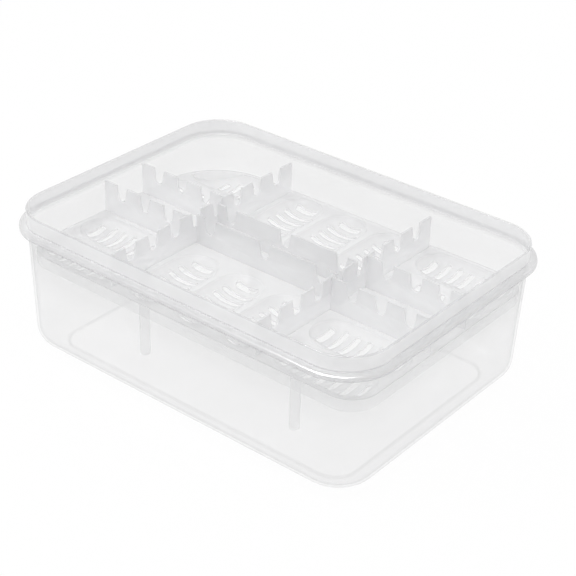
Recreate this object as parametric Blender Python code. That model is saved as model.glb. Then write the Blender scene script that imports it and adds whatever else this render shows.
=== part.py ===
"""Open plastic box with a raised insert tray: welled deck, legs and notched dividers (metres, +Z up)."""
import math

import bmesh
import bpy

# Box, sizes outside
RIM_LENGTH = 0.3000
RIM_WIDTH = 0.2152
BOX_HEIGHT = 0.1083
RIM_CORNER = 0.0320
BOX_WALL = 0.0015
TAPER_LENGTH = 0.0044  # how far each end wall leans in, rim to bottom round
TAPER_WIDTH = 0.0026
LOW_CORNER = 0.0277  # upright corner radius just above the bottom round
UPSTAND_HEIGHT = 0.0112  # rim above the flange
FLANGE_THICK = 0.0046
FLANGE_OUT = 0.0055
FLANGE_EASE = 0.0014  # rounding of the flange's edge
BASE_ROUND = 0.0160  # height of the rounded bottom edge
BASE_INSET = 0.0190  # how far the bottom round runs in under the box
FOOT_CORNER = 0.0168

# Insert tray
LEG_LENGTH = 0.0702
LEG_DIAMETER = 0.0073
DECK_THICK = 0.0016
SKIRT_THICK = 0.0015
SKIRT_OVERHANG = 0.0003  # skirt below the well bottoms
TRAY_END_GAP = 0.0013  # tray edge to box wall, at the short sides
TRAY_SIDE_GAP = 0.0072  # tray edge to box wall, at the long sides
BIG_CORNER = 0.0500  # the tray's wide round corner at the back left

# Wells and slots
WELL_DEPTH = 0.0075
WELL_WALL = 0.0013
WELL_FLAT = 0.0020  # half width of the flat strip along a well's round floor
WELL_EDGE_LAND = 0.0012  # between a well's wall and the skirt
PANEL_LAND = 0.0042  # deck between a divider and the nearest well
MIDDLE_LAND = 0.0092  # the same in the middle zone, front and back
WELL_GAP = 0.0055  # deck between two middle wells
ROW_CLEAR = 0.0006  # between the walls of two side by side outer wells
MIDDLE_WELLS = 3
OUTER_ROWS = 2
SLOT_WIDTH = 0.0045
SLOT_PITCH = 0.0094
SLOT_INSET = 0.0043  # slot ends to the well's edge
SLOT_END_MIN = 0.0080  # well end to the middle of the first slot
SLOT_ROOF = 0.0005  # the slots' cutters stop this far under the deck

# Dividers
PANEL_HEIGHT = 0.0245  # above the deck
MIDDLE_DROP = 0.0020  # middle dividers are this much lower
PANEL_THICK = 0.0016
CROSS_X = 0.0630  # cross dividers, left and right of the centre
OUTER_Y = 0.0193  # outer long dividers, front and back of the centre
MIDDLE_Y = 0.0110
CROSS_END_INSET = 0.0035  # divider end to tray edge
OUTER_END_INSET = 0.0015
GROOVE_DEPTH = 0.0008
NOTCH_TOP = 0.0100
NOTCH_ROUND = 0.0030
NOTCH_DEPTH = 0.0120
END_POST_MIN = 0.0050
CROSS_PITCH = 0.0218
OUTER_PITCH = 0.0228
MIDDLE_PITCH = 0.0490

# Clearances and facets
SEAT_GAP = 0.0003
CUT_PAST = 0.0010
WELD = 0.00001
CORNER_STEPS = 9
WELL_END_STEPS = 10
ROUND_STEPS = 4
NOTCH_STEPS = 6
LEG_SIDES = 24
SHARP_ANGLE = math.radians(35)
SEE_THROUGH = 0.6  # share of light that the plastic lets through

# Worked out from the sizes above
FLANGE_TOP = BOX_HEIGHT - UPSTAND_HEIGHT
FLANGE_BOTTOM = FLANGE_TOP - FLANGE_THICK
DECK_TOP = BOX_WALL + SEAT_GAP + LEG_LENGTH + SEAT_GAP + DECK_THICK
SKIRT_DEPTH = WELL_DEPTH + WELL_WALL + SKIRT_OVERHANG
PANEL_FOOT = SEAT_GAP - GROOVE_DEPTH  # divider foot against the deck top

SIDES = (-1, 1)
SIDE_NAMES = {-1: "left", 1: "right"}
ROW_NAMES = {-1: "front", 1: "back"}


def wall_section(z):
    """Outer half length, half width and corner radius of the box wall at height z."""
    low = min(max((BOX_HEIGHT - z) / (BOX_HEIGHT - BASE_ROUND), 0), 1)
    half_length = RIM_LENGTH / 2 - TAPER_LENGTH * low
    half_width = RIM_WIDTH / 2 - TAPER_WIDTH * low
    return half_length, half_width, RIM_CORNER + (LOW_CORNER - RIM_CORNER) * low


SKIRT_BOTTOM_WALL = wall_section(DECK_TOP - SKIRT_DEPTH)
TRAY_HALF_X = SKIRT_BOTTOM_WALL[0] - BOX_WALL - TRAY_END_GAP
TRAY_HALF_Y = SKIRT_BOTTOM_WALL[1] - BOX_WALL - TRAY_SIDE_GAP

WELL_LIMIT = SKIRT_THICK + WELL_EDGE_LAND + WELL_WALL  # tray edge to a well
WELL_END_X = TRAY_HALF_X - WELL_LIMIT
WELL_END_Y = TRAY_HALF_Y - WELL_LIMIT
OUTER_START_X = CROSS_X + PANEL_THICK / 2 + PANEL_LAND
OUTER_START_Y = OUTER_Y + PANEL_THICK / 2 + PANEL_LAND
MIDDLE_START_Y = MIDDLE_Y + PANEL_THICK / 2 + MIDDLE_LAND
ROW_GAP = 2 * WELL_WALL + ROW_CLEAR
ROW_WIDTH = (WELL_END_Y - OUTER_START_Y - (OUTER_ROWS - 1) * ROW_GAP) / OUTER_ROWS
TRAY_CORNER = ROW_WIDTH / 2 + WELL_LIMIT  # runs round the outer wells' ends
MIDDLE_SPAN = 2 * (CROSS_X - PANEL_THICK / 2 - PANEL_LAND)
MIDDLE_WIDTH = (MIDDLE_SPAN - (MIDDLE_WELLS - 1) * WELL_GAP) / MIDDLE_WELLS
LEG_X = OUTER_START_X
LEG_Y = OUTER_START_Y + ROW_WIDTH + ROW_GAP / 2


def new_collection(name):
    collection = bpy.data.collections.new(name)
    bpy.context.scene.collection.children.link(collection)
    return collection


def plastic(name, grey, roughness):
    material = bpy.data.materials.new(name)
    material.use_nodes = True
    shader = material.node_tree.nodes["Principled BSDF"]
    shader.inputs["Base Color"].default_value = (grey, grey, grey, 1)
    shader.inputs["Roughness"].default_value = roughness
    shader.inputs["Metallic"].default_value = 0
    shader.inputs["Transmission Weight"].default_value = SEE_THROUGH
    return material


def add_object(name, mesh, collection):
    item = bpy.data.objects.new(name, mesh)
    collection.objects.link(item)
    return item


def finish_piece(item, grey, roughness):
    item.data.materials.clear()
    item.data.materials.append(plastic(item.name, grey, roughness))
    item.data.shade_smooth()
    item.data.set_sharp_from_angle(angle=SHARP_ANGLE)
    return item


def arc(centre, radius, start, sweep, steps):
    """Points along an arc, both ends included; angles in degrees."""
    turns = [math.radians(start + sweep * step / steps) for step in range(steps + 1)]
    return [(centre[0] + radius * math.cos(a), centre[1] + radius * math.sin(a)) for a in turns]


def rounded_rectangle(half_x, half_y, radii):
    """Anticlockwise outline; radii for the corners back right, back left, front left, front right."""
    signs = ((1, 1), (-1, 1), (-1, -1), (1, -1))
    points = []
    for quarter, ((sign_x, sign_y), radius) in enumerate(zip(signs, radii)):
        centre = (sign_x * (half_x - radius), sign_y * (half_y - radius))
        points += arc(centre, radius, 90 * quarter, 90, CORNER_STEPS)
    return points


def stadium(half_length, half_width):
    """Anticlockwise outline with round ends, long way along X."""
    straight = half_length - half_width
    right = arc((straight, 0), half_width, -90, 180, WELL_END_STEPS)
    return right + arc((-straight, 0), half_width, 90, 180, WELL_END_STEPS)


def tray_outline(inset, plain_corner=TRAY_CORNER):
    """The tray's edge moved in, with its wide corner and three plain ones."""
    corners = [plain_corner - inset] * 4
    corners[1] = BIG_CORNER - inset
    return rounded_rectangle(TRAY_HALF_X - inset, TRAY_HALF_Y - inset, corners)


def loft(bm, rings):
    """Close a stack of (outline, height) rings with equal counts into one body; the first ring is the cap."""
    loops = [[bm.verts.new((x, y, z)) for x, y in outline] for outline, z in rings]
    for lower, upper in zip(loops, loops[1:]):
        for here in range(len(lower)):
            there = (here + 1) % len(lower)
            bm.faces.new((lower[here], lower[there], upper[there], upper[here]))
    bm.faces.new(loops[0][::-1])
    bm.faces.new(loops[-1])


def mesh_from(bm, name):
    bmesh.ops.recalc_face_normals(bm, faces=bm.faces)
    mesh = bpy.data.meshes.new(name)
    bm.to_mesh(mesh)
    bm.free()
    return mesh


def plate_mesh(name, outline, thick, bottom=0.0, upright=False):
    """Flat outline given a thickness: lying with its underside at bottom, or upright in XZ, centred on Y."""
    curve = bpy.data.curves.new(name, "CURVE")
    curve.dimensions = "2D"
    curve.fill_mode = "BOTH"
    curve.extrude = thick / 2
    spline = curve.splines.new("POLY")
    spline.points.add(len(outline) - 1)
    for point, (x, y) in zip(spline.points, outline):
        point.co = (x, y, 0, 1)
    spline.use_cyclic_u = True
    holder = add_object(name, curve, bpy.context.scene.collection)
    evaluated = holder.evaluated_get(bpy.context.evaluated_depsgraph_get())
    bm = bmesh.new()
    bm.from_mesh(bpy.data.meshes.new_from_object(evaluated))
    bpy.data.objects.remove(holder)
    bmesh.ops.remove_doubles(bm, verts=bm.verts, dist=WELD)
    for vert in bm.verts:
        x, y, z = vert.co
        vert.co = (x, -z, y) if upright else (x, y, z + thick / 2 + bottom)
    return mesh_from(bm, name)


def add_block(bm, centre, size):
    """A cuboid joined into bm, its centre and full sizes given."""
    made = bmesh.ops.create_cube(bm, size=1)
    for vert in made["verts"]:
        vert.co = [middle + side * full for middle, side, full in zip(centre, vert.co, size)]


def add_cutter(name, mesh, collection):
    item = add_object(name, mesh, collection)
    item.hide_render = True
    item.display_type = "WIRE"
    return item


def add_boolean(item, operation, other):
    modifier = item.modifiers.new(operation.title() + " " + other.name, "BOOLEAN")
    modifier.operation = operation
    modifier.solver = "EXACT"
    modifier.object = other


def box_rings():
    """Outside from the foot up to the rim, then inside from the rim down to the floor."""
    def ring(z, out=0.0, corner=None):
        half_length, half_width, radius = wall_section(z)
        radius = radius + out if corner is None else corner
        return rounded_rectangle(half_length + out, half_width + out, [radius] * 4), z

    def round_ring(step, skin):
        angle = math.pi / 2 * step / ROUND_STEPS
        run = 1 - math.cos(angle)
        inward = BASE_INSET * run + skin * math.cos(angle)
        corner = LOW_CORNER + (FOOT_CORNER - LOW_CORNER) * run - skin * math.cos(angle)
        outline, _ = ring(BASE_ROUND, -inward, corner)
        return outline, BASE_ROUND * (1 - math.sin(angle)) + skin * math.sin(angle)

    outside = [round_ring(step, 0) for step in range(ROUND_STEPS, -1, -1)]
    edge, _ = ring(FLANGE_TOP, FLANGE_OUT)
    eased, _ = ring(FLANGE_TOP, FLANGE_OUT - FLANGE_EASE)
    flange = [ring(FLANGE_BOTTOM), (eased, FLANGE_BOTTOM), (edge, FLANGE_BOTTOM + FLANGE_EASE)]
    flange += [(edge, FLANGE_TOP - FLANGE_EASE), (eased, FLANGE_TOP), ring(FLANGE_TOP)]
    rim = [ring(BOX_HEIGHT), ring(BOX_HEIGHT, -BOX_WALL)]
    inside = [round_ring(step, BOX_WALL) for step in range(ROUND_STEPS + 1)]
    return outside + flange + rim + inside


def make_box(collection):
    bm = bmesh.new()
    loft(bm, box_rings())
    return finish_piece(add_object("box", mesh_from(bm, "box"), collection), 0.87, 0.3)


def well_list():
    """Each well as (centre x, centre y, half length, half width, runs along Y)."""
    wells = []
    half_length = (WELL_END_Y - MIDDLE_START_Y) / 2
    for row in SIDES:
        for place in range(MIDDLE_WELLS):
            x = (place - (MIDDLE_WELLS - 1) / 2) * (MIDDLE_WIDTH + WELL_GAP)
            wells.append((x, row * (MIDDLE_START_Y + half_length), half_length, MIDDLE_WIDTH / 2, True))
    half_length = (WELL_END_X - OUTER_START_X) / 2
    for side in SIDES:
        for row in SIDES:
            for place in range(OUTER_ROWS):
                y = OUTER_START_Y + ROW_WIDTH / 2 + place * (ROW_WIDTH + ROW_GAP)
                x = side * (OUTER_START_X + half_length)
                wells.append((x, row * y, half_length, ROW_WIDTH / 2, False))
    return wells


def add_well(bm, well, grow, top):
    """Trough with round ends and floor; grow is the wall that its outside adds, top the height of its mouth."""
    x, y, half_length, half_width, along_y = well
    run_in = half_width - WELL_FLAT
    radius = (run_in ** 2 + WELL_DEPTH ** 2) / (2 * WELL_DEPTH)
    lip = math.acos((radius - WELL_DEPTH - top) / (radius + grow))
    placed = []
    for step in range(ROUND_STEPS + 1):
        angle = lip * step / ROUND_STEPS
        inset = run_in - (radius + grow) * math.sin(angle)
        outline = stadium(half_length - inset, half_width - inset)
        if along_y:
            outline = [(-v, u) for u, v in outline]
        z = radius - WELL_DEPTH - (radius + grow) * math.cos(angle)
        placed.append(([(x + u, y + v) for u, v in outline], z))
    loft(bm, placed)


def slot_places(well):
    """Cross slots of one well as (centre x, centre y, half length), shorter at round ends and the wide corner."""
    x, y, half_length, half_width, along_y = well
    count = int((2 * half_length - 2 * SLOT_END_MIN) / SLOT_PITCH) + 1
    corner = (BIG_CORNER - TRAY_HALF_X, TRAY_HALF_Y - BIG_CORNER)
    corner_reach = BIG_CORNER - WELL_LIMIT - SLOT_WIDTH
    reach = half_width - SLOT_INSET
    places = []
    for number in range(count):
        along = (number - (count - 1) / 2) * SLOT_PITCH
        u, v = (x, y + along) if along_y else (x + along, y)
        past_end = max(abs(along) - half_length + half_width, 0)
        half_slot = math.sqrt(max(reach ** 2 - past_end ** 2, 0))
        past_corner = max(corner[0] - u + SLOT_WIDTH / 2, 0)
        if past_corner > 0 and v > corner[1]:
            room = math.sqrt(max(corner_reach ** 2 - past_corner ** 2, 0))
            half_slot = min(half_slot, corner[1] + room - v)
        if half_slot > SLOT_WIDTH:
            places.append((u, v, half_slot))
    return places


def slot_mesh(wells):
    bm = bmesh.new()
    bottom = -SKIRT_DEPTH - CUT_PAST
    top = -DECK_THICK - SLOT_ROOF
    for well in wells:
        for u, v, half_slot in slot_places(well):
            size = (2 * half_slot, SLOT_WIDTH) if well[4] else (SLOT_WIDTH, 2 * half_slot)
            add_block(bm, (u, v, (bottom + top) / 2), (*size, top - bottom))
    return mesh_from(bm, "slots")


def make_tray(collection, cutters, box, panels):
    """Deck with a skirt, hanging wells, their slots and the dividers' grooves; origin at the deck top."""
    tray = add_object("tray", plate_mesh("tray", tray_outline(0), SKIRT_DEPTH, -SKIRT_DEPTH), collection)
    wells = well_list()
    under = -SKIRT_DEPTH - CUT_PAST
    hollow_mesh = plate_mesh("hollow", tray_outline(SKIRT_THICK), -DECK_THICK - under, under)
    hollow = add_cutter("hollow", hollow_mesh, cutters)
    shells = bmesh.new()
    mouths = bmesh.new()
    for well in wells:
        add_well(shells, well, WELL_WALL, -DECK_THICK / 2)
        add_well(mouths, well, 0, CUT_PAST)
    well_shells = add_cutter("well_shells", mesh_from(shells, "well_shells"), cutters)
    well_mouths = add_cutter("well_mouths", mesh_from(mouths, "well_mouths"), cutters)
    for limited, inset in ((well_shells, SKIRT_THICK / 2), (well_mouths, WELL_LIMIT - WELL_EDGE_LAND / 2)):
        name = limited.name + "_limit"
        edge = tray_outline(inset, plain_corner=inset + WELL_EDGE_LAND)
        limit = add_cutter(name, plate_mesh(name, edge, -2 * under, under), cutters)
        add_boolean(limited, "INTERSECT", limit)
    slots = add_cutter("slots", slot_mesh(wells), cutters)
    add_boolean(tray, "DIFFERENCE", hollow)
    add_boolean(tray, "UNION", well_shells)
    add_boolean(tray, "DIFFERENCE", well_mouths)
    add_boolean(tray, "DIFFERENCE", slots)
    for kind in ("cross", "long"):
        grooves = bmesh.new()
        for panel in panels:
            if panel["name"].startswith(kind):
                size = [panel["length"] + 2 * SEAT_GAP, PANEL_THICK + 2 * SEAT_GAP, 2 * GROOVE_DEPTH]
                if panel["across"]:
                    size[0], size[1] = size[1], size[0]
                add_block(grooves, (*panel["place"], 0), size)
        name = kind + "_grooves"
        add_boolean(tray, "DIFFERENCE", add_cutter(name, mesh_from(grooves, name), cutters))
    for item in cutters.objects:
        item.parent = tray
    tray.parent = box
    tray.location.z = DECK_TOP
    return finish_piece(tray, 0.82, 0.4)


def panel_list():
    """Every divider: name, centre on the deck, length, notch pitch, height, and if it runs front to back."""
    panels = []
    cross_length = 2 * (TRAY_HALF_Y - CROSS_END_INSET)
    cross_face = CROSS_X + PANEL_THICK / 2 + SEAT_GAP
    cross_inner = CROSS_X - PANEL_THICK / 2 - SEAT_GAP
    outer_length = TRAY_HALF_X - OUTER_END_INSET - cross_face

    def add(name, place, length, pitch, height, across=False):
        panels.append({"name": name, "place": place, "length": length, "pitch": pitch,
                       "height": height, "across": across})

    for side in SIDES:
        name = "cross_panel_" + SIDE_NAMES[side]
        add(name, (side * CROSS_X, 0), cross_length, CROSS_PITCH, PANEL_HEIGHT, across=True)
    for row in SIDES:
        stem = "long_panel_" + ROW_NAMES[row]
        for side in SIDES:
            place = (side * (cross_face + outer_length / 2), row * OUTER_Y)
            add(stem + "_" + SIDE_NAMES[side], place, outer_length, OUTER_PITCH, PANEL_HEIGHT)
        middle_height = PANEL_HEIGHT - MIDDLE_DROP
        add(stem + "_middle", (0, row * MIDDLE_Y), 2 * cross_inner, MIDDLE_PITCH, middle_height)
    return panels


def panel_outline(length, pitch, height):
    """Upright outline, foot in the groove, with tapering round-bottomed notches along the top edge."""
    count = int((length - 2 * END_POST_MIN - NOTCH_TOP) / pitch) + 1
    points = [(-length / 2, PANEL_FOOT), (length / 2, PANEL_FOOT), (length / 2, height)]
    for number in range(count - 1, -1, -1):
        x = (number - (count - 1) / 2) * pitch
        centre = (x, height - NOTCH_DEPTH + NOTCH_ROUND)
        points.append((x + NOTCH_TOP / 2, height))
        points += arc(centre, NOTCH_ROUND, 0, -180, NOTCH_STEPS)
        points.append((x - NOTCH_TOP / 2, height))
    points.append((-length / 2, height))
    return points


def make_panel(panel, collection, tray):
    outline = panel_outline(panel["length"], panel["pitch"], panel["height"])
    mesh = plate_mesh(panel["name"], outline, PANEL_THICK, upright=True)
    item = add_object(panel["name"], mesh, collection)
    item.parent = tray
    item.location = (*panel["place"], 0)
    item.rotation_euler.z = math.pi / 2 if panel["across"] else 0
    return finish_piece(item, 0.76, 0.35)


def make_leg(name, x, y, collection, tray):
    bm = bmesh.new()
    bmesh.ops.create_cone(bm, cap_ends=True, segments=LEG_SIDES, radius1=LEG_DIAMETER / 2,
                          radius2=LEG_DIAMETER / 2, depth=LEG_LENGTH)
    item = add_object(name, mesh_from(bm, name), collection)
    item.parent = tray
    item.location = (x, y, -DECK_THICK - SEAT_GAP - LEG_LENGTH / 2)
    return finish_piece(item, 0.8, 0.35)


def main():
    for item in list(bpy.data.objects):
        bpy.data.objects.remove(item, do_unlink=True)
    pieces = new_collection("tray_box")
    cutters = new_collection("tray_box_cutters")
    box = make_box(pieces)
    panels = panel_list()
    tray = make_tray(pieces, cutters, box, panels)
    for row in SIDES:
        for side in SIDES:
            name = "leg_" + ROW_NAMES[row] + "_" + SIDE_NAMES[side]
            make_leg(name, side * LEG_X, row * LEG_Y, pieces, tray)
    for panel in panels:
        make_panel(panel, pieces, tray)


main()
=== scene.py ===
import math
import bmesh
import bpy
from mathutils import Matrix, Vector


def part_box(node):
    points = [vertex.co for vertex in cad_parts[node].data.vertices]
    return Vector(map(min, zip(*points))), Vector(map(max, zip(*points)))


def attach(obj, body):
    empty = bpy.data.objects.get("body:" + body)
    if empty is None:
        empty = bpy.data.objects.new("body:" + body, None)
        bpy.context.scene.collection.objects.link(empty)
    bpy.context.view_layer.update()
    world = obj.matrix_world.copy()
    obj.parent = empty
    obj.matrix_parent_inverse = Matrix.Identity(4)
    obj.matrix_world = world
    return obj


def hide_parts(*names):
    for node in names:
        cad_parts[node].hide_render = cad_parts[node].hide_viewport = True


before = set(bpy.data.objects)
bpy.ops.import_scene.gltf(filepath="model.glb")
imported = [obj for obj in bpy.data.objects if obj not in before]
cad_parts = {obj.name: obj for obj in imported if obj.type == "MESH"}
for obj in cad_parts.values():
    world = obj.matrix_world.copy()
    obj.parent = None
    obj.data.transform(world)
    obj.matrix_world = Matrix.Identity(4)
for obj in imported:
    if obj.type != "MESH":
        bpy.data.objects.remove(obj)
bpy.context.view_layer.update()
mm = 0.001
weldGap = 0.01 * mm
print("frame loaded:", len(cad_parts), "nodes")


# Outlines and meshes

def arcPoints(centre, radius, start, sweep, steps):
    turns = [math.radians(start + sweep * step / steps) for step in range(steps + 1)]
    return [(centre[0] + radius * math.cos(turn), centre[1] + radius * math.sin(turn)) for turn in turns]


def roundedRectangle(halfX, halfY, radii, steps):  # radii: back right, back left, front left, front right
    points = []
    for quarter, (signX, signY) in enumerate(((1, 1), (-1, 1), (-1, -1), (1, -1))):
        radius = radii[quarter]
        centre = (signX * (halfX - radius), signY * (halfY - radius))
        points += arcPoints(centre, radius, 90 * quarter, 90, steps)
    return points


def stadium(halfLength, halfWidth, steps):  # round ends, long way along X
    straight = halfLength - halfWidth
    return (arcPoints((straight, 0), halfWidth, -90, 180, steps)
            + arcPoints((-straight, 0), halfWidth, 90, 180, steps))


def loftRings(bm, rings):  # closes a stack of (outline, height, depth, milk) rings into one body
    layers = bm.verts.layers.float
    depthPaint = layers.get("wallDepth") or layers.new("wallDepth")
    milkPaint = layers.get("milk") or layers.new("milk")
    loops = []
    for outline, z, *paint in rings:
        depth, milk = paint or (0, 0)
        loops.append([bm.verts.new((x, y, z)) for x, y in outline])
        for vert in loops[-1]:
            vert[depthPaint] = depth
            vert[milkPaint] = milk
    for lower, upper in zip(loops, loops[1:]):
        for here in range(len(lower)):
            there = (here + 1) % len(lower)
            bm.faces.new((lower[here], lower[there], upper[there], upper[here]))
    bm.faces.new(loops[0][::-1])
    bm.faces.new(loops[-1])


def meshObject(name, bm):
    bmesh.ops.recalc_face_normals(bm, faces=bm.faces)
    mesh = bpy.data.meshes.new(name)
    bm.to_mesh(mesh)
    bm.free()
    piece = bpy.data.objects.new(name, mesh)
    bpy.context.scene.collection.objects.link(piece)
    return piece


def settle(piece):  # live modifiers become the piece's own plain mesh
    evaluated = piece.evaluated_get(bpy.context.evaluated_depsgraph_get())
    mesh = bpy.data.meshes.new_from_object(evaluated)
    piece.modifiers.clear()
    piece.data = mesh


def discard(*pieces):
    for piece in pieces:
        bpy.data.objects.remove(piece, do_unlink=True)


def softShade(piece, degrees):
    piece.data.shade_smooth()
    piece.data.set_sharp_from_angle(angle=math.radians(degrees))
    return piece


def dress(piece, material):
    piece.data.materials.clear()
    piece.data.materials.append(material)
    return piece


def place(piece, body, slot, *nodes):
    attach(piece, body)
    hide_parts(*nodes)


# Node tree helpers

def newTree(name):
    tree = bpy.data.node_groups.new(name, "GeometryNodeTree")
    tree.interface.new_socket(name="Geometry", in_out="INPUT", socket_type="NodeSocketGeometry")
    tree.interface.new_socket(name="Geometry", in_out="OUTPUT", socket_type="NodeSocketGeometry")
    return tree


def addInput(tree, name, kind, value=None):
    socket = tree.interface.new_socket(name=name, in_out="INPUT", socket_type="NodeSocket" + kind)
    if value is not None:
        socket.default_value = value


def addNode(tree, kind, **settings):
    node = tree.nodes.new(kind)
    for key, value in settings.items():
        setattr(node, key, value)
    return node


def addMath(tree, operation, factor, clamp=False):
    node = addNode(tree, "ShaderNodeMath", operation=operation, use_clamp=clamp)
    node.inputs[1].default_value = factor
    return node


def wire(tree, *pairs):
    for source, target in pairs:
        tree.links.new(source, target)


def useTree(piece, tree, **values):  # inputs are set by the socket's identifier
    modifier = piece.modifiers.new(tree.name, "NODES")
    modifier.node_group = tree
    for socket in tree.interface.items_tree:
        if socket.in_out == "INPUT" and socket.name in values:
            modifier[socket.identifier] = values[socket.name]


# Plastics

plastics = {
    "frostedBox": {"grey": 0.93, "deepGrey": 0.30, "roughness": 0.15, "gloss": 0.5, "haze": 0.080,
                   "edge": 0.52, "power": 5.5, "thick": 0.085, "milk": 0.40, "grain": 900},
    "trayDeck": {"grey": 0.87, "deepGrey": 0.60, "roughness": 0.45, "gloss": 0.05, "haze": 0.40,
                 "edge": 0.25, "power": 4.0, "thick": 0.20, "milk": 0, "grain": 700},
    "legRod": {"grey": 0.88, "deepGrey": 0.60, "roughness": 0.40, "gloss": 0.3, "haze": 0.19,
               "edge": 0.26, "power": 4.0, "thick": 0.20, "milk": 0, "grain": 700},
    "dividerSheet": {"grey": 0.955, "deepGrey": 0.60, "roughness": 0.36, "gloss": 0.08, "haze": 0.40,
                     "edge": 0.25, "power": 4.0, "thick": 0.16, "milk": 0, "grain": 1100},
    # a darker copy of the divider plastic for the middle dividers: painted shade
    "shadedMiddleSheet": {"grey": 0.93, "deepGrey": 0.50, "roughness": 0.36, "gloss": 0.08, "haze": 0.40,
                    "edge": 0.25, "power": 4.0, "thick": 0.16, "milk": 0, "grain": 1100},
}
moulding = {  # what all five have in common
    "refraction": 1.49, "blueShare": 1.01, "cloudScale": 14, "cloudDetail": 3, "cloudTint": 0.12,
    "depthTint": 0.5, "grainDetail": 2, "roughSpread": 0.05, "hazeSpread": 0.2, "bumpStrength": 0.05,
    "bumpHeight": 0.1 * mm, "glanceBlend": 0.5,
}


def frostedPlastic(name):
    look = plastics[name]
    material = bpy.data.materials.new(name)
    material.use_nodes = True
    tree = material.node_tree
    shader = tree.nodes["Principled BSDF"]
    shader.inputs["IOR"].default_value = moulding["refraction"]
    shader.inputs["Specular IOR Level"].default_value = look["gloss"]
    coords = addNode(tree, "ShaderNodeTexCoord")
    cloud = addNode(tree, "ShaderNodeTexNoise")  # slow unevenness of the moulding
    cloud.inputs["Scale"].default_value = moulding["cloudScale"]
    cloud.inputs["Detail"].default_value = moulding["cloudDetail"]
    tint = addNode(tree, "ShaderNodeValToRGB")  # thin plastic at the left, deep at the right
    for element, grey in zip(tint.color_ramp.elements, (look["grey"], look["deepGrey"])):
        element.color = (grey, grey, grey * moulding["blueShare"], 1)
    uneven = addMath(tree, "MULTIPLY_ADD", moulding["cloudTint"])
    deepen = addMath(tree, "MULTIPLY", moulding["depthTint"])
    grain = addNode(tree, "ShaderNodeTexNoise")  # fine frosting
    grain.inputs["Scale"].default_value = look["grain"]
    grain.inputs["Detail"].default_value = moulding["grainDetail"]
    frosting = addNode(tree, "ShaderNodeMapRange")
    frosting.inputs["To Min"].default_value = look["roughness"] - moulding["roughSpread"]
    frosting.inputs["To Max"].default_value = look["roughness"] + moulding["roughSpread"]
    bump = addNode(tree, "ShaderNodeBump")
    bump.inputs["Strength"].default_value = moulding["bumpStrength"]
    bump.inputs["Distance"].default_value = moulding["bumpHeight"]
    glance = addNode(tree, "ShaderNodeLayerWeight")  # a slanting look passes through more plastic
    glance.inputs["Blend"].default_value = moulding["glanceBlend"]
    steep = addMath(tree, "POWER", look["power"])
    depth = addMath(tree, "MULTIPLY_ADD", look["edge"])
    haze = addNode(tree, "ShaderNodeMapRange")
    haze.inputs["To Min"].default_value = look["haze"] * (1 - moulding["hazeSpread"])
    haze.inputs["To Max"].default_value = look["haze"] * (1 + moulding["hazeSpread"])
    wallDepth = addNode(tree, "ShaderNodeAttribute", attribute_name="wallDepth")  # thicker and darker; on the tray's rounded edges it carries painted shade
    thick = addMath(tree, "MULTIPLY_ADD", look["thick"])
    milk = addNode(tree, "ShaderNodeAttribute", attribute_name="milk")  # cloudier but no darker
    cloudy = addMath(tree, "MULTIPLY_ADD", look["milk"], clamp=True)
    wire(tree,
         (coords.outputs["Object"], cloud.inputs["Vector"]),
         (coords.outputs["Object"], grain.inputs["Vector"]),
         (wallDepth.outputs["Fac"], deepen.inputs[0]),
         (cloud.outputs["Fac"], uneven.inputs[0]),
         (deepen.outputs[0], uneven.inputs[2]),
         (uneven.outputs[0], tint.inputs["Fac"]),
         (tint.outputs["Color"], shader.inputs["Base Color"]),
         (grain.outputs["Fac"], frosting.inputs["Value"]),
         (frosting.outputs["Result"], shader.inputs["Roughness"]),
         (grain.outputs["Fac"], bump.inputs["Height"]),
         (bump.outputs["Normal"], shader.inputs["Normal"]),
         (glance.outputs["Facing"], steep.inputs[0]),
         (steep.outputs[0], depth.inputs[0]),
         (cloud.outputs["Fac"], haze.inputs["Value"]),
         (haze.outputs["Result"], depth.inputs[2]),
         (wallDepth.outputs["Fac"], thick.inputs[0]),
         (depth.outputs[0], thick.inputs[2]),
         (milk.outputs["Fac"], cloudy.inputs[0]),
         (thick.outputs[0], cloudy.inputs[2]),
         (cloudy.outputs[0], shader.inputs["Alpha"]))
    return material


boxPlastic = frostedPlastic("frostedBox")
trayPlastic = frostedPlastic("trayDeck")
legPlastic = frostedPlastic("legRod")
sheetPlastic = frostedPlastic("dividerSheet")
shadedMiddlePlastic = frostedPlastic("shadedMiddleSheet")
print("plastics mixed")


# The box: one loft, up the outside and down the inside

boxShape = {
    "rimHalfX": 150.0 * mm, "rimHalfY": 107.6 * mm, "rimCorner": 32.0 * mm,
    "wall": 1.5 * mm, "taperX": 4.4 * mm, "taperY": 2.6 * mm, "lowCorner": 27.7 * mm,
    "upstand": 11.2 * mm, "beadThick": 4.6 * mm, "beadEase": 1.9 * mm,
    "baseRound": 16.0 * mm, "baseInset": 19.0 * mm, "footCorner": 16.8 * mm,
    "clearBelow": 50.0 * mm, "deepAbove": 75.0 * mm, "lowerDepth": 0.38, "upperDepth": 0.88,
    "beadDepth": 0.75, "beadLine": 1.4, "beadMilk": 1.2, "beadFoot": 0.4, "rimMilk": 1.0,
    "rimOutside": 0.30, "rimInside": 0.22, "lineDepth": 1.15, "lineMilk": 0.6, "lineWidth": 1.0 * mm,
    "footLine": 1.3, "footLineFrom": 85, "footFade": 1.5 * mm, "roundDepth": 0.15, "insideMilk": 0.6,
    "cornerSteps": 20, "roundSteps": 12, "beadSteps": 6, "rimSteps": 6, "wallSteps": 10, "shadeAngle": 40,
}


def boxSection(z):
    shape = boxShape
    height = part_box("box")[1][2]
    low = min(max((height - z) / (height - shape["baseRound"]), 0), 1)
    return (shape["rimHalfX"] - shape["taperX"] * low, shape["rimHalfY"] - shape["taperY"] * low,
            shape["rimCorner"] + (shape["lowCorner"] - shape["rimCorner"]) * low)


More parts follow.
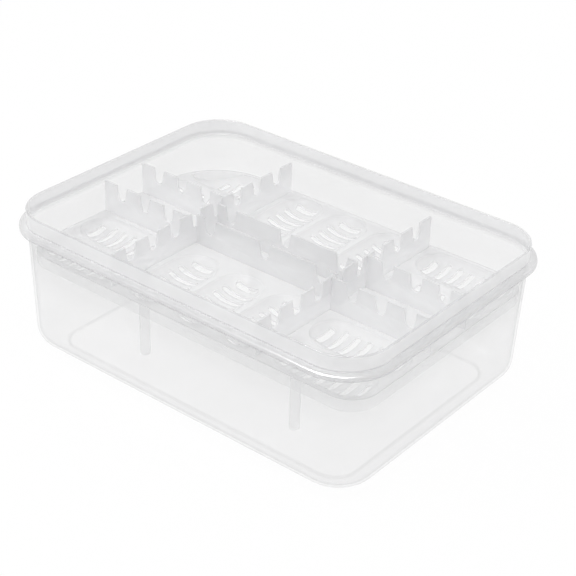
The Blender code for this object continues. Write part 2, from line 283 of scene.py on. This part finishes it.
def plasticDepth(z):  # the upper wall is deeper toned than the lower one
    shape = boxShape
    rise = (z - shape["clearBelow"]) / (shape["deepAbove"] - shape["clearBelow"])
    return shape["lowerDepth"] + (shape["upperDepth"] - shape["lowerDepth"]) * min(max(rise, 0), 1)


def boxRing(z, out=0.0, corner=None, height=None, depth=None, milk=0):
    halfX, halfY, radius = boxSection(z)
    radius = radius + out if corner is None else corner
    outline = roundedRectangle(halfX + out, halfY + out, [radius] * 4, boxShape["cornerSteps"])
    height = z if height is None else height
    return outline, height, plasticDepth(height) if depth is None else depth, milk


def baseRing(turn, skin, depth=None):  # turn 0 at the wall, 90 under the box
    shape = boxShape
    angle = math.radians(turn)
    run = 1 - math.cos(angle)
    inward = shape["baseInset"] * run + skin * math.cos(angle)
    corner = shape["lowCorner"] + (shape["footCorner"] - shape["lowCorner"]) * run - skin * math.cos(angle)
    height = shape["baseRound"] * (1 - math.sin(angle)) + skin * math.sin(angle)
    return boxRing(shape["baseRound"], -inward, corner, height, depth)


def footDepth(turn):  # a line round the foot, and a soft shade above it
    shape = boxShape
    if turn > shape["footLineFrom"]:
        return shape["footLine"]
    return shape["lowerDepth"] + shape["roundDepth"] * math.sin(math.radians(turn))


def makeBox():
    shape = boxShape
    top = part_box("box")[1][2]
    beadTop = top - shape["upstand"]
    beadBottom = beadTop - shape["beadThick"]
    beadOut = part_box("box")[1][0] - boxSection(beadTop)[0]
    ease = shape["beadEase"]
    turns = [90 * step / shape["roundSteps"] for step in range(shape["roundSteps"] + 1)]
    levelGap = (beadBottom - shape["baseRound"]) / shape["wallSteps"]
    levels = [shape["baseRound"] + levelGap * step for step in range(1, shape["wallSteps"])]
    foot = [(turn, footDepth(turn)) for turn in turns]
    plain = shape["baseInset"] + shape["footFade"]  # the floor clears again inside its edge
    floor = [boxRing(shape["baseRound"], -plain, shape["footCorner"] - shape["footFade"], height)
             for height in (0, shape["wall"])]
    outside = [floor[0]] + [baseRing(turn, 0, depth) for turn, depth in reversed(foot)]
    outside += [boxRing(z) for z in levels]
    line, beadDepth, beadMilk = shape["lineDepth"], shape["beadDepth"], shape["beadMilk"]
    bead = [boxRing(beadBottom, depth=beadDepth)]
    for start, middle, edgeDepth, milk in ((-90, beadBottom + ease, shape["beadLine"], shape["beadFoot"]),
                                           (0, beadTop - ease, beadDepth, beadMilk)):
        arc = arcPoints((beadOut - ease, middle), ease, start, 90, shape["beadSteps"])
        for step, (reach, rise) in enumerate(arc):  # a line along the bead's lower edge
            depth = edgeDepth + (beadDepth - edgeDepth) * abs(2 * step / shape["beadSteps"] - 1)
            bead.append(boxRing(beadTop, reach, None, rise, depth, milk))
    bead.append(boxRing(beadTop, shape["lineWidth"], depth=beadDepth, milk=beadMilk))
    bead.append(boxRing(beadTop, depth=line, milk=shape["lineMilk"]))
    bead.append(boxRing(beadTop + shape["lineWidth"], depth=shape["rimOutside"], milk=shape["rimMilk"]))
    half = shape["wall"] / 2
    inner = -shape["wall"]
    rim = [boxRing(top - shape["lineWidth"], depth=shape["rimOutside"], milk=shape["rimMilk"])]
    rim += [boxRing(top, reach, None, rise, line)
            for reach, rise in arcPoints((-half, top - half), half, 0, 180, shape["rimSteps"])]
    rim += [boxRing(z, inner, depth=shape["rimInside"], milk=shape["insideMilk"])
            for z in (top - shape["lineWidth"], beadTop)]
    inside = [boxRing(z, inner) for z in [beadBottom] + levels[::-1]]
    inside += [baseRing(turn, shape["wall"], depth) for turn, depth in foot] + [floor[1]]
    bm = bmesh.new()
    loftRings(bm, outside + bead + rim + inside)
    box = softShade(meshObject("frosted_box", bm), shape["shadeAngle"])
    place(dress(box, boxPlastic), "box", "box", "box")


makeBox()
print("box lofted")


# The insert tray: deck and skirt, sunk wells, then a node tree cuts the slots

trayShape = {
    "deckThick": 1.6 * mm, "skirtThick": 1.5 * mm, "wideCorner": 50.0 * mm, "edgeEase": 0.7 * mm,
    "wellDepth": 7.5 * mm, "wellWall": 1.3 * mm, "wellEdge": 1.2 * mm, "wellFlat": 2.0 * mm, "lip": 2.0 * mm,
    "panelLand": 4.2 * mm, "middleLand": 9.2 * mm, "wellGap": 5.5 * mm, "rowClear": 0.6 * mm,
    "slotWidth": 4.5 * mm, "slotPitch": 9.4 * mm, "slotInset": 4.3 * mm, "slotEnd": 8.0 * mm,
    # edgeDepth is painted shade along the tray's rounded edges and well lips
    "slotRoof": 0.5 * mm, "topDepth": 0.5, "underDepth": -1.2, "skirtDepth": -1.2, "edgeDepth": 0.95,
    "cutPast": 1.0 * mm, "lipShares": (0.7, 0.4), "lipOver": 0.35 * mm, "slotRound": 0.499,
    "upright": 0.05, "level": 0.99,  # how far a face's normal leans, for the painting
    "cornerSteps": 16, "endSteps": 24, "roundSteps": 8, "edgeSteps": 4, "slotSteps": 6, "shadeAngle": 30,
}


def trayOutline(inset, plainCorner=None):
    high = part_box("tray")[1]
    plain = trayCorner() - inset if plainCorner is None else plainCorner
    corners = [plain, trayShape["wideCorner"] - inset, plain, plain]
    return roundedRectangle(high[0] - inset, high[1] - inset, corners, trayShape["cornerSteps"])


def wellLimit():
    return trayShape["skirtThick"] + trayShape["wellEdge"] + trayShape["wellWall"]


def wellBounds():  # where wells start and end, and how wide the two kinds are
    shape = trayShape
    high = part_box("tray")[1]
    crossLow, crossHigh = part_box("cross_panel_right")
    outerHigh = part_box("long_panel_back_right")[1]
    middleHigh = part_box("long_panel_back_middle")[1]
    startX = crossHigh[0] + shape["panelLand"]
    startY = outerHigh[1] + shape["panelLand"]
    rowGap = 2 * shape["wellWall"] + shape["rowClear"]
    endY = high[1] - wellLimit()
    return {
        "startX": startX, "endX": high[0] - wellLimit(), "startY": startY, "endY": endY,
        "middleStartY": middleHigh[1] + shape["middleLand"], "rowGap": rowGap,
        "rowWidth": (endY - startY - rowGap) / 2,
        "middleWidth": (2 * (crossLow[0] - shape["panelLand"]) - 2 * shape["wellGap"]) / 3,
    }


def trayCorner():
    return wellBounds()["rowWidth"] / 2 + wellLimit()


def wellPlaces():  # (x, y, half length, half width, turned a quarter)
    limits = wellBounds()
    wells = []
    halfLength = (limits["endY"] - limits["middleStartY"]) / 2
    for row in (-1, 1):
        for column in (-1, 0, 1):
            x = column * (limits["middleWidth"] + trayShape["wellGap"])
            y = row * (limits["middleStartY"] + halfLength)
            wells.append((x, y, halfLength, limits["middleWidth"] / 2, True))
    halfLength = (limits["endX"] - limits["startX"]) / 2
    for side in (-1, 1):
        for row in (-1, 1):
            for rank in (0, 1):
                y = limits["startY"] + limits["rowWidth"] / 2 + rank * (limits["rowWidth"] + limits["rowGap"])
                x = side * (limits["startX"] + halfLength)
                wells.append((x, row * y, halfLength, limits["rowWidth"] / 2, False))
    return wells


def wellRings(well, grow, steps):  # round floor up to the mouth, as (inset, height)
    shape = trayShape
    depth, lip = shape["wellDepth"], shape["lip"]
    runIn = well[3] - shape["wellFlat"]
    radius = (runIn ** 2 + depth ** 2) / (2 * depth)
    slope = math.acos((radius - depth) / radius)
    tangent = lip * math.tan(slope / 2)
    top = -shape["deckThick"] / 2 if grow else -tangent * math.sin(slope)
    reach = radius + grow
    end = math.acos((radius - depth - top) / reach)
    rings = []
    for step in range(steps + 1):
        angle = end * step / steps
        rings.append((runIn - reach * math.sin(angle), radius - depth - reach * math.cos(angle)))
    if grow == 0:  # rounded lip at the mouth
        for share in shape["lipShares"]:
            angle = slope * share
            rings.append((lip * math.sin(angle) - tangent, lip * math.cos(angle) - lip))
        rings.append((-tangent, shape["lipOver"]))
    return rings


def sinkWell(bm, well, grow, deckTop):
    x, y, halfLength, halfWidth, turned = well
    placed = []
    for inset, z in wellRings(well, grow, trayShape["roundSteps"]):
        outline = stadium(halfLength - inset, halfWidth - inset, trayShape["endSteps"])
        if turned:
            outline = [(-v, u) for u, v in outline]
        placed.append(([(x + u, y + v) for u, v in outline], deckTop + z))
    loftRings(bm, placed)


def slotPlaces(well):  # (x, y, half length), shorter at the round ends and at the wide corner
    shape = trayShape
    x, y, halfLength, halfWidth, turned = well
    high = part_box("tray")[1]
    count = int((2 * halfLength - 2 * shape["slotEnd"]) / shape["slotPitch"]) + 1
    corner = (shape["wideCorner"] - high[0], high[1] - shape["wideCorner"])
    cornerReach = shape["wideCorner"] - wellLimit() - shape["slotWidth"]
    reach = halfWidth - shape["slotInset"]
    places = []
    for number in range(count):
        along = (number - (count - 1) / 2) * shape["slotPitch"]
        u, v = (x, y + along) if turned else (x + along, y)
        pastEnd = max(abs(along) - halfLength + halfWidth, 0)
        halfSlot = math.sqrt(max(reach ** 2 - pastEnd ** 2, 0))
        pastCorner = max(corner[0] - u + shape["slotWidth"] / 2, 0)
        if pastCorner > 0 and v > corner[1]:
            halfSlot = min(halfSlot, corner[1] + math.sqrt(max(cornerReach ** 2 - pastCorner ** 2, 0)) - v)
        if halfSlot > shape["slotWidth"]:
            places.append((u, v, halfSlot))
    return places


def slotTree():  # cuts a round-ended slot through the mesh at each point
    tree = newTree("slotCutting")
    addInput(tree, "slotPoints", "Object")
    addInput(tree, "slotLength", "Float", 26.0 * mm)
    addInput(tree, "slotWidth", "Float", 4.5 * mm)
    addInput(tree, "cutDepth", "Float", 8.0 * mm)
    addInput(tree, "plastic", "Material")
    source = addNode(tree, "NodeGroupInput")
    sink = addNode(tree, "NodeGroupOutput")
    points = addNode(tree, "GeometryNodeObjectInfo", transform_space="RELATIVE")
    outline = addNode(tree, "GeometryNodeCurvePrimitiveQuadrilateral", mode="RECTANGLE")
    roundEnds = addNode(tree, "GeometryNodeFilletCurve", mode="POLY")
    roundEnds.inputs["Count"].default_value = trayShape["slotSteps"]
    halfWidth = addMath(tree, "MULTIPLY", trayShape["slotRound"])  # just under half, so no edge closes up
    fill = addNode(tree, "GeometryNodeFillCurve")
    raised = addNode(tree, "GeometryNodeExtrudeMesh")
    raised.inputs["Individual"].default_value = False
    turnedOver = addNode(tree, "GeometryNodeFlipFaces")
    closed = addNode(tree, "GeometryNodeJoinGeometry")
    welded = addNode(tree, "GeometryNodeMergeByDistance")
    welded.inputs["Distance"].default_value = weldGap
    centred = addNode(tree, "GeometryNodeTransform")
    halfDepth = addMath(tree, "MULTIPLY", -0.5)
    lower = addNode(tree, "ShaderNodeCombineXYZ")
    upward = addNode(tree, "ShaderNodeCombineXYZ")
    quarter = addNode(tree, "GeometryNodeInputNamedAttribute", data_type="FLOAT")
    quarter.inputs["Name"].default_value = "quarterTurn"
    spin = addNode(tree, "ShaderNodeCombineXYZ")
    share = addNode(tree, "GeometryNodeInputNamedAttribute", data_type="FLOAT")
    share.inputs["Name"].default_value = "lengthShare"
    stretch = addNode(tree, "ShaderNodeCombineXYZ")
    stretch.inputs["Y"].default_value = 1
    stretch.inputs["Z"].default_value = 1
    spread = addNode(tree, "GeometryNodeInstanceOnPoints")
    real = addNode(tree, "GeometryNodeRealizeInstances")
    cut = addNode(tree, "GeometryNodeMeshBoolean", operation="DIFFERENCE", solver="EXACT")
    finish = addNode(tree, "GeometryNodeSetMaterial")
    wire(tree,
         (source.outputs["slotPoints"], points.inputs["Object"]),
         (source.outputs["slotLength"], outline.inputs["Width"]),
         (source.outputs["slotWidth"], outline.inputs["Height"]),
         (source.outputs["slotWidth"], halfWidth.inputs[0]),
         (outline.outputs["Curve"], roundEnds.inputs["Curve"]),
         (halfWidth.outputs[0], roundEnds.inputs["Radius"]),
         (roundEnds.outputs["Curve"], fill.inputs["Curve"]),
         (fill.outputs["Mesh"], raised.inputs["Mesh"]),
         (source.outputs["cutDepth"], upward.inputs["Z"]),
         (upward.outputs[0], raised.inputs["Offset"]),
         (fill.outputs["Mesh"], turnedOver.inputs["Mesh"]),
         (raised.outputs["Mesh"], closed.inputs["Geometry"]),
         (turnedOver.outputs["Mesh"], closed.inputs["Geometry"]),
         (closed.outputs["Geometry"], welded.inputs["Geometry"]),
         (source.outputs["cutDepth"], halfDepth.inputs[0]),
         (halfDepth.outputs[0], lower.inputs["Z"]),
         (lower.outputs[0], centred.inputs["Translation"]),
         (welded.outputs["Geometry"], centred.inputs["Geometry"]),
         (points.outputs["Geometry"], spread.inputs["Points"]),
         (centred.outputs["Geometry"], spread.inputs["Instance"]),
         (quarter.outputs["Attribute"], spin.inputs["Z"]),
         (spin.outputs[0], spread.inputs["Rotation"]),
         (share.outputs["Attribute"], stretch.inputs["X"]),
         (stretch.outputs[0], spread.inputs["Scale"]),
         (spread.outputs["Instances"], real.inputs["Geometry"]),
         (source.outputs["Geometry"], cut.inputs["Mesh 1"]),
         (real.outputs["Geometry"], cut.inputs["Mesh 2"]),
         (cut.outputs["Mesh"], finish.inputs["Geometry"]),
         (source.outputs["plastic"], finish.inputs["Material"]),
         (finish.outputs["Geometry"], sink.inputs["Geometry"]))
    return tree


def slotPointCloud(wells, middle, longest):
    mesh = bpy.data.meshes.new("slot_points")
    spots = [(well[4], *slot) for well in wells for slot in slotPlaces(well)]
    mesh.from_pydata([(u, v, middle) for turned, u, v, halfSlot in spots], [], [])
    turn = mesh.attributes.new("quarterTurn", "FLOAT", "POINT")
    share = mesh.attributes.new("lengthShare", "FLOAT", "POINT")
    for number, (turned, u, v, halfSlot) in enumerate(spots):
        turn.data[number].value = 0 if turned else math.pi / 2
        share.data[number].value = 2 * halfSlot / longest
    cloud = bpy.data.objects.new("slot_points", mesh)
    bpy.context.scene.collection.objects.link(cloud)
    return cloud


def addBoolean(piece, operation, other):
    modifier = piece.modifiers.new(operation, "BOOLEAN")
    modifier.operation = operation
    modifier.solver = "EXACT"
    modifier.object = other


def prism(name, rings):
    bm = bmesh.new()
    loftRings(bm, rings)
    return meshObject(name, bm)


def edgeDistance(x, y, half, plainCorner):  # in from the tray's outline
    radius = trayShape["wideCorner"] if x < 0 < y else plainCorner
    pastX, pastY = abs(x) - half[0] + radius, abs(y) - half[1] + radius
    if min(pastX, pastY) > 0:
        return radius - math.hypot(pastX, pastY)
    return radius - max(pastX, pastY)


def paintTray(tray):  # by face: the underside and the skirt are clearer than what shows from above
    shape = trayShape
    half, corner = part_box("tray")[1], trayCorner()
    tray.data.attributes.remove(tray.data.attributes["wallDepth"])
    paint = tray.data.attributes.new("wallDepth", "FLOAT", "FACE")
    edgeBottom = half[2] - shape["deckThick"] / 2
    for value, face in zip(paint.data, tray.data.polygons):
        x, y, z = face.center
        if z > edgeBottom and face.normal.z < shape["level"]:  # painted shade: rounded edges and well lips are darkened to show as lines
            value.value = shape["edgeDepth"]
        elif abs(face.normal.z) > shape["upright"]:
            value.value = shape["topDepth"] if face.normal.z > 0 else shape["underDepth"]
        elif edgeDistance(x, y, half, corner) < 2 * shape["skirtThick"]:
            value.value = shape["skirtDepth"]


def makeTray():
    shape = trayShape
    low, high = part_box("tray")
    deckTop, skirtBottom = high[2], low[2]
    ease = shape["edgeEase"]
    under = skirtBottom - shape["cutPast"]
    over = deckTop + shape["cutPast"]
    blank = [(trayOutline(0), skirtBottom)]
    blank += [(trayOutline(ease - reach), rise)
              for reach, rise in arcPoints((0, deckTop - ease), ease, 0, 90, shape["edgeSteps"])]
    tray = prism("insert_tray", blank)
    hollow = prism("hollow", [(trayOutline(shape["skirtThick"]), under),
                              (trayOutline(shape["skirtThick"]), deckTop - shape["deckThick"])])
    wells = wellPlaces()
    shells, mouths = bmesh.new(), bmesh.new()
    for well in wells:
        sinkWell(shells, well, shape["wellWall"], deckTop)
        sinkWell(mouths, well, 0, deckTop)
    shells, mouths = meshObject("shells", shells), meshObject("mouths", mouths)
    limits = []
    for limited, inset in ((shells, shape["skirtThick"] / 2), (mouths, wellLimit() - shape["wellEdge"] / 2)):
        edge = trayOutline(inset, shape["wellEdge"])
        limits.append(prism("limit", [(edge, under), (edge, over)]))
        addBoolean(limited, "INTERSECT", limits[-1])
    addBoolean(tray, "DIFFERENCE", hollow)
    addBoolean(tray, "UNION", shells)
    addBoolean(tray, "DIFFERENCE", mouths)
    longest = 2 * max(well[3] - shape["slotInset"] for well in wells)
    roof = deckTop - shape["deckThick"] - shape["slotRoof"]
    points = slotPointCloud(wells, (under + roof) / 2, longest)
    useTree(tray, slotTree(), slotPoints=points, slotLength=longest, slotWidth=shape["slotWidth"],
            cutDepth=roof - under, plastic=trayPlastic)
    settle(tray)
    discard(hollow, shells, mouths, points, *limits)
    paintTray(tray)
    softShade(tray, shape["shadeAngle"])
    place(dress(tray, trayPlastic), "tray", "tray", "tray")


makeTray()
print("tray sunk and slotted")


# Legs: a lathe profile with eased ends

legShape = {"ease": 0.8 * mm, "sides": 40, "easeSteps": 5, "shadeAngle": 40}


def makeLeg(node):
    low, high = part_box(node)
    radius = (high[0] - low[0]) / 2
    centre = ((low[0] + high[0]) / 2, (low[1] + high[1]) / 2)
    ease, steps = legShape["ease"], legShape["easeSteps"]
    profile = arcPoints((radius - ease, low[2] + ease), ease, -90, 90, steps)
    profile += arcPoints((radius - ease, high[2] - ease), ease, 0, 90, steps)
    bm = bmesh.new()
    rings = []
    for reach, rise in profile:
        circle = arcPoints(centre, reach, 0, 360, legShape["sides"])[:-1]
        rings.append((circle, rise))
    loftRings(bm, rings)
    leg = softShade(meshObject(node + "_rod", bm), legShape["shadeAngle"])
    place(dress(leg, legPlastic), "tray", "leg", node)


for legNode in ("leg_front_left", "leg_front_right", "leg_back_left", "leg_back_right"):
    makeLeg(legNode)
print("legs turned")


# Dividers: one node tree cuts the row of notches in a blank

notchShape = {
    "top": 10.0 * mm, "round": 3.0 * mm, "depth": 12.0 * mm, "endPost": 5.0 * mm, "edgeEase": 0.25 * mm,
    "crossPitch": 21.8 * mm, "outerPitch": 22.8 * mm, "middlePitch": 49.0 * mm,
    "sheetDepths": (-0.15, 0.65), "middleDepths": (0.0, 0.5),  # at the foot, at the top
    "bottomShare": 2.05, "cutShare": 4, "notchSteps": 10, "edgeSteps": 2, "edgeAngle": 50, "shadeAngle": 35,
}


def notchTree():  # blank panel minus a row of tapering round-bottomed notches
    tree = newTree("notchRow")
    addInput(tree, "notchCount", "Int", 3)
    addInput(tree, "notchPitch", "Float", 22.0 * mm)
    addInput(tree, "notchTop", "Float", 10.0 * mm)
    addInput(tree, "notchRound", "Float", 3.0 * mm)
    addInput(tree, "notchDepth", "Float", 12.0 * mm)
    addInput(tree, "firstNotch", "Vector")
    addInput(tree, "cutThrough", "Float", 4.0 * mm)
    addInput(tree, "plastic", "Material")
    source = addNode(tree, "NodeGroupInput")
    sink = addNode(tree, "NodeGroupOutput")
    row = addNode(tree, "GeometryNodeMeshLine", mode="OFFSET")
    step = addNode(tree, "ShaderNodeCombineXYZ")
    outline = addNode(tree, "GeometryNodeCurvePrimitiveQuadrilateral", mode="TRAPEZOID")
    outline.inputs["Offset"].default_value = 0
    bottomWidth = addMath(tree, "MULTIPLY", notchShape["bottomShare"])  # a little over twice the rounding
    tall = addMath(tree, "MULTIPLY", 2)  # the cutter stands as far above the edge as below
    wideTop = addMath(tree, "MULTIPLY_ADD", 2)
    narrow = addMath(tree, "MULTIPLY", -notchShape["bottomShare"])
    soften = addNode(tree, "GeometryNodeFilletCurve", mode="POLY")
    soften.inputs["Count"].default_value = notchShape["notchSteps"]
    fill = addNode(tree, "GeometryNodeFillCurve")
    upward = addNode(tree, "ShaderNodeCombineXYZ")
    raised = addNode(tree, "GeometryNodeExtrudeMesh")
    raised.inputs["Individual"].default_value = False
    turnedOver = addNode(tree, "GeometryNodeFlipFaces")
    closed = addNode(tree, "GeometryNodeJoinGeometry")
    welded = addNode(tree, "GeometryNodeMergeByDistance")
    welded.inputs["Distance"].default_value = weldGap
    halfThrough = addMath(tree, "MULTIPLY", 0.5)
    backward = addNode(tree, "ShaderNodeCombineXYZ")
    upright = addNode(tree, "GeometryNodeTransform")
    upright.inputs["Rotation"].default_value = (math.pi / 2, 0, 0)
    spread = addNode(tree, "GeometryNodeInstanceOnPoints")
    real = addNode(tree, "GeometryNodeRealizeInstances")
    cut = addNode(tree, "GeometryNodeMeshBoolean", operation="DIFFERENCE", solver="EXACT")
    finish = addNode(tree, "GeometryNodeSetMaterial")
    wire(tree,
         (source.outputs["notchCount"], row.inputs["Count"]),
         (source.outputs["firstNotch"], row.inputs["Start Location"]),
         (source.outputs["notchPitch"], step.inputs["X"]),
         (step.outputs[0], row.inputs["Offset"]),
         (source.outputs["notchRound"], bottomWidth.inputs[0]),
         (bottomWidth.outputs[0], outline.inputs["Bottom Width"]),
         (source.outputs["notchDepth"], tall.inputs[0]),
         (tall.outputs[0], outline.inputs["Height"]),
         (source.outputs["notchRound"], narrow.inputs[0]),
         (source.outputs["notchTop"], wideTop.inputs[0]),
         (narrow.outputs[0], wideTop.inputs[2]),
         (wideTop.outputs[0], outline.inputs["Top Width"]),
         (outline.outputs["Curve"], soften.inputs["Curve"]),
         (source.outputs["notchRound"], soften.inputs["Radius"]),
         (soften.outputs["Curve"], fill.inputs["Curve"]),
         (fill.outputs["Mesh"], raised.inputs["Mesh"]),
         (source.outputs["cutThrough"], upward.inputs["Z"]),
         (upward.outputs[0], raised.inputs["Offset"]),
         (fill.outputs["Mesh"], turnedOver.inputs["Mesh"]),
         (raised.outputs["Mesh"], closed.inputs["Geometry"]),
         (turnedOver.outputs["Mesh"], closed.inputs["Geometry"]),
         (closed.outputs["Geometry"], welded.inputs["Geometry"]),
         (source.outputs["cutThrough"], halfThrough.inputs[0]),
         (halfThrough.outputs[0], backward.inputs["Y"]),
         (backward.outputs[0], upright.inputs["Translation"]),
         (welded.outputs["Geometry"], upright.inputs["Geometry"]),
         (row.outputs["Mesh"], spread.inputs["Points"]),
         (upright.outputs["Geometry"], spread.inputs["Instance"]),
         (spread.outputs["Instances"], real.inputs["Geometry"]),
         (source.outputs["Geometry"], cut.inputs["Mesh 1"]),
         (real.outputs["Geometry"], cut.inputs["Mesh 2"]),
         (cut.outputs["Mesh"], finish.inputs["Geometry"]),
         (source.outputs["plastic"], finish.inputs["Material"]),
         (finish.outputs["Geometry"], sink.inputs["Geometry"]))
    return tree


notchRow = notchTree()


def makeDivider(node, body, pitch, plastic, depths):
    low, high = Vector(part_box(node)[0]), Vector(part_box(node)[1])
    size = high - low
    across = size.y > size.x  # runs front to back
    length, thick = (size.y, size.x) if across else (size.x, size.y)
    blank = bmesh.new()
    bmesh.ops.create_cube(blank, size=1)
    bmesh.ops.scale(blank, vec=(length, thick, size.z), verts=blank.verts)
    bmesh.ops.translate(blank, vec=(0, 0, size.z / 2), verts=blank.verts)
    panel = meshObject(node + "_sheet", blank)
    count = int((length - 2 * notchShape["endPost"] - notchShape["top"]) / pitch) + 1
    useTree(panel, notchRow, notchCount=count, notchPitch=pitch, notchTop=notchShape["top"],
            notchRound=notchShape["round"], notchDepth=notchShape["depth"],
            firstNotch=(-(count - 1) / 2 * pitch, 0, size.z), cutThrough=notchShape["cutShare"] * thick,
            plastic=plastic)
    settle(panel)
    turn = Matrix.Rotation(math.pi / 2, 4, "Z") if across else Matrix()
    foot = Vector(((low.x + high.x) / 2, (low.y + high.y) / 2, low.z))
    panel.data.transform(Matrix.Translation(foot) @ turn)
    edges = panel.modifiers.new("eased edges", "BEVEL")
    edges.width = notchShape["edgeEase"]
    edges.segments = notchShape["edgeSteps"]
    edges.limit_method = "ANGLE"
    edges.angle_limit = math.radians(notchShape["edgeAngle"])
    settle(panel)
    paint = panel.data.attributes.new("wallDepth", "FLOAT", "POINT")  # greyer towards the top edge
    for value, vert in zip(paint.data, panel.data.vertices):
        value.value = depths[0] + (depths[1] - depths[0]) * (vert.co.z - low.z) / size.z
    softShade(panel, notchShape["shadeAngle"])
    place(dress(panel, plastic), body, "divider", node)


for side in ("left", "right"):
    makeDivider("cross_panel_" + side, "cross_" + side, notchShape["crossPitch"], sheetPlastic,
                notchShape["sheetDepths"])
    for rowName in ("front", "back"):
        name = rowName + "_" + side
        makeDivider("long_panel_" + name, "long_" + name, notchShape["outerPitch"], sheetPlastic,
                    notchShape["sheetDepths"])
for rowName in ("front", "back"):
    name = rowName + "_middle"
    # the middle dividers take the darker copy of the divider plastic: painted shade
    makeDivider("long_panel_" + name, "long_" + name, notchShape["middlePitch"], shadedMiddlePlastic,
                notchShape["middleDepths"])
print("dividers notched")


# Studio: white sweep, soft lamps, the photograph's camera

studio = {
    "floorHalf": 3.0, "floorDrop": 0.2 * mm, "floorGrey": 0.9, "floorShadow": 0.04, "skyGrey": 0.97,
    "lampAim": (0, 0, 0.06), "bounces": 32,
    "key": {"place": (-0.8, -0.8, 1.3), "size": 0.6, "watts": 4, "glossOnly": False},
    "fill": {"place": (0.4, 1.1, 1.2), "size": 0.8, "watts": 1.5, "glossOnly": False},
    "glint": {"place": (0.05, -0.75, 1.15), "size": 1.3, "watts": 200, "glossOnly": True},
}
cameraView = {"azimuth": 38.41, "elevation": 30.55, "roll": 1.85, "focal": 95.98, "sensor": 36,
              "place": (0.57722, -0.71251, 0.59776)}


def whiteRays(tree):  # 1 for rays that should see the white background
    path = addNode(tree, "ShaderNodeLightPath")
    first = addNode(tree, "ShaderNodeMath", operation="MAXIMUM")
    second = addNode(tree, "ShaderNodeMath", operation="MAXIMUM")
    wire(tree,
         (path.outputs["Is Camera Ray"], first.inputs[0]),
         (path.outputs["Is Glossy Ray"], first.inputs[1]),
         (first.outputs[0], second.inputs[0]),
         (path.outputs["Is Transmission Ray"], second.inputs[1]))
    return second.outputs[0]


def makeSky():
    world = bpy.data.worlds.new("studio")
    bpy.context.scene.world = world
    world.use_nodes = True
    tree = world.node_tree
    sky = tree.nodes["Background"]
    seen = addNode(tree, "ShaderNodeBackground")
    mix = addNode(tree, "ShaderNodeMixShader")
    grey = studio["skyGrey"]
    sky.inputs["Color"].default_value = (grey, grey, grey, 1)
    seen.inputs["Color"].default_value = (1, 1, 1, 1)
    wire(tree,
         (whiteRays(tree), mix.inputs["Fac"]),
         (sky.outputs[0], mix.inputs[1]),
         (seen.outputs[0], mix.inputs[2]),
         (mix.outputs[0], tree.nodes["World Output"].inputs["Surface"]))


def makeFloor():
    bm = bmesh.new()
    bmesh.ops.create_grid(bm, x_segments=1, y_segments=1, size=studio["floorHalf"])
    bmesh.ops.translate(bm, vec=(0, 0, -studio["floorDrop"]), verts=bm.verts)
    floor = meshObject("studio_floor", bm)
    material = bpy.data.materials.new("whiteSweep")
    material.use_nodes = True
    tree = material.node_tree
    shader = tree.nodes["Principled BSDF"]
    grey = studio["floorGrey"]
    shader.inputs["Base Color"].default_value = (grey, grey, grey, 1)
    shader.inputs["Roughness"].default_value = 1
    shader.inputs["Specular IOR Level"].default_value = 0
    glow = addNode(tree, "ShaderNodeEmission")
    mix = addNode(tree, "ShaderNodeMixShader")
    keep = addMath(tree, "MULTIPLY", 1 - studio["floorShadow"])
    wire(tree,
         (whiteRays(tree), keep.inputs[0]),
         (keep.outputs[0], mix.inputs["Fac"]),
         (shader.outputs[0], mix.inputs[1]),
         (glow.outputs[0], mix.inputs[2]),
         (mix.outputs[0], tree.nodes["Material Output"].inputs["Surface"]))
    dress(floor, material)


def makeLamp(name):
    lamp = studio[name]
    light = bpy.data.lights.new(name + "_lamp", "AREA")
    light.size = lamp["size"]
    light.energy = lamp["watts"]
    holder = bpy.data.objects.new(name + "_lamp", light)
    holder.location = lamp["place"]
    aim = Vector(studio["lampAim"]) - Vector(lamp["place"])
    holder.rotation_euler = aim.to_track_quat("-Z", "Y").to_euler()
    holder.visible_diffuse = not lamp["glossOnly"]
    bpy.context.scene.collection.objects.link(holder)


def makeCamera():
    azimuth, elevation, roll = (math.radians(cameraView[key]) for key in ("azimuth", "elevation", "roll"))
    forward = Vector((-math.sin(azimuth) * math.cos(elevation), math.cos(azimuth) * math.cos(elevation),
                      -math.sin(elevation)))
    right = Vector((math.cos(azimuth), math.sin(azimuth), 0))
    up = right.cross(forward)
    across = right * math.cos(roll) + up * math.sin(roll)
    upward = up * math.cos(roll) - right * math.sin(roll)
    data = bpy.data.cameras.new("photo_camera")
    data.lens = cameraView["focal"]
    data.sensor_width = cameraView["sensor"]
    data.sensor_fit = "HORIZONTAL"
    camera = bpy.data.objects.new("photo_camera", data)
    turn = Matrix((across, upward, -forward)).transposed().to_4x4()
    camera.matrix_world = Matrix.Translation(cameraView["place"]) @ turn
    bpy.context.scene.collection.objects.link(camera)
    bpy.context.scene.camera = camera


makeSky()
makeFloor()
makeLamp("key")
makeLamp("fill")
makeLamp("glint")
makeCamera()
settings = bpy.context.scene
settings.view_settings.view_transform = "Standard"
settings.cycles.max_bounces = studio["bounces"]
settings.cycles.transmission_bounces = studio["bounces"]
settings.cycles.transparent_max_bounces = studio["bounces"]
print("studio set")
